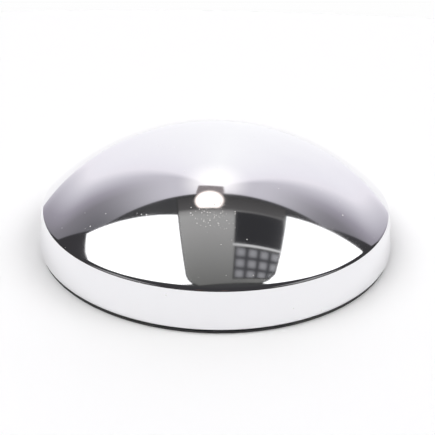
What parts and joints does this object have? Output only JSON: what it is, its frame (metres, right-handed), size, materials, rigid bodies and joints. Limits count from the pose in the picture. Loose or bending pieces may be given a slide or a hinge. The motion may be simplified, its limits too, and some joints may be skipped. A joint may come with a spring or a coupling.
{
  "type": "wheel hub cap",
  "caption": "Chromed domed hub cap with a tapered skirt and rolled edge, a rubber seal, and riveted spring clips inside that grip a round wheel hub.",
  "frame": {"origin": "middle of the seal's flat underside, where the cap meets the wheel", "axes": "+Z along the cap's turning axis, towards the crown; the first clip is on +Y and the others follow at 60 degrees"},
  "size_m": [0.216, 0.216, 0.06],
  "materials": {
    "chrome_plate": "mirror-bright chrome plate over drawn steel",
    "zinc_plate": "dull zinc-plated steel",
    "spring_steel": "blued spring steel with an oil sheen",
    "rivet_steel": "plain steel, formed ends",
    "seal_rubber": "matt black rubber"
  },
  "bodies": {
    "cap": {"dome_shell": "chrome_plate", "backing_ring": "zinc_plate", "rubber_seal": "seal_rubber", "clip_1_foot": "spring_steel", "clip_1_rivet_a": "rivet_steel", "clip_1_rivet_b": "rivet_steel", "clip_2_foot": "spring_steel", "clip_2_rivet_a": "rivet_steel", "clip_2_rivet_b": "rivet_steel", "clip_3_foot": "spring_steel", "clip_3_rivet_a": "rivet_steel", "clip_3_rivet_b": "rivet_steel", "clip_4_foot": "spring_steel", "clip_4_rivet_a": "rivet_steel", "clip_4_rivet_b": "rivet_steel", "clip_5_foot": "spring_steel", "clip_5_rivet_a": "rivet_steel", "clip_5_rivet_b": "rivet_steel", "clip_6_foot": "spring_steel", "clip_6_rivet_a": "rivet_steel", "clip_6_rivet_b": "rivet_steel"},
    "clip_1_leg": {"clip_1_leg": "spring_steel"},
    "clip_2_leg": {"clip_2_leg": "spring_steel"},
    "clip_3_leg": {"clip_3_leg": "spring_steel"},
    "clip_4_leg": {"clip_4_leg": "spring_steel"},
    "clip_5_leg": {"clip_5_leg": "spring_steel"},
    "clip_6_leg": {"clip_6_leg": "spring_steel"}
  },
  "joints": [
    {"name": "clip_1_flex", "type": "hinge", "parent": "cap", "child": "clip_1_leg", "pos_m": [0, 0.0968, 0.0047], "axis": [-1, 0, 0], "range_deg": [0, 10], "stiffness_Nm_per_rad": 20},
    {"name": "clip_2_flex", "type": "hinge", "parent": "cap", "child": "clip_2_leg", "pos_m": [-0.08383, 0.0484, 0.0047], "axis": [-0.5, -0.866, 0], "range_deg": [0, 10], "stiffness_Nm_per_rad": 20},
    {"name": "clip_3_flex", "type": "hinge", "parent": "cap", "child": "clip_3_leg", "pos_m": [-0.08383, -0.0484, 0.0047], "axis": [0.5, -0.866, 0], "range_deg": [0, 10], "stiffness_Nm_per_rad": 20},
    {"name": "clip_4_flex", "type": "hinge", "parent": "cap", "child": "clip_4_leg", "pos_m": [0, -0.0968, 0.0047], "axis": [1, 0, 0], "range_deg": [0, 10], "stiffness_Nm_per_rad": 20},
    {"name": "clip_5_flex", "type": "hinge", "parent": "cap", "child": "clip_5_leg", "pos_m": [0.08383, -0.0484, 0.0047], "axis": [0.5, 0.866, 0], "range_deg": [0, 10], "stiffness_Nm_per_rad": 20},
    {"name": "clip_6_flex", "type": "hinge", "parent": "cap", "child": "clip_6_leg", "pos_m": [0.08383, 0.0484, 0.0047], "axis": [-0.5, 0.866, 0], "range_deg": [0, 10], "stiffness_Nm_per_rad": 20}
  ]
}
